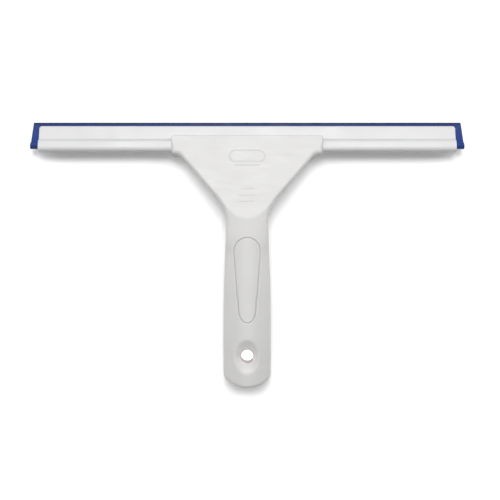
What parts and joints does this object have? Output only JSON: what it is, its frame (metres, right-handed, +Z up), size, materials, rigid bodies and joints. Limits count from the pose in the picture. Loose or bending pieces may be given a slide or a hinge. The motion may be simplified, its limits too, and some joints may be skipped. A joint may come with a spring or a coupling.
{
  "type": "window squeegee",
  "caption": "Window cleaning squeegee: a blue rubber blade in a straight white channel, held by a triangular head on a bent grip with a hanging hole.",
  "frame": {"origin": "centre of the bounding box, on the table that it lies on", "axes": "+X along the blade, +Y from the grip towards the wiping edge, +Z up, out of the handle's front"},
  "size_m": [0.3048, 0.1874, 0.0236],
  "materials": {
    "handle_plastic": "moulded off-white plastic with a fine satin grain",
    "pad_plastic": "moulded off-white plastic, slightly smoother than the grip",
    "channel_plastic": "extruded white plastic with faint lines along its length",
    "blue_rubber": "blue rubber, matt, with a clean-cut wiping edge",
    "clip_brass": "bent spring brass",
    "screw_steel": "zinc-plated steel"
  },
  "bodies": {
    "handle": {"front_shell": "handle_plastic", "rear_shell": "handle_plastic", "thumb_pad": "pad_plastic", "blade_channel": "channel_plastic", "head_screws": "screw_steel", "grip_screws": "screw_steel"},
    "blade": {"rubber_blade": "blue_rubber", "left_end_clip": "clip_brass", "right_end_clip": "clip_brass"}
  },
  "joints": [
    {"name": "blade_slide", "type": "slide", "parent": "handle", "child": "blade", "axis": [1, 0, 0], "range_m": [-0.29, 0.29]}
  ]
}
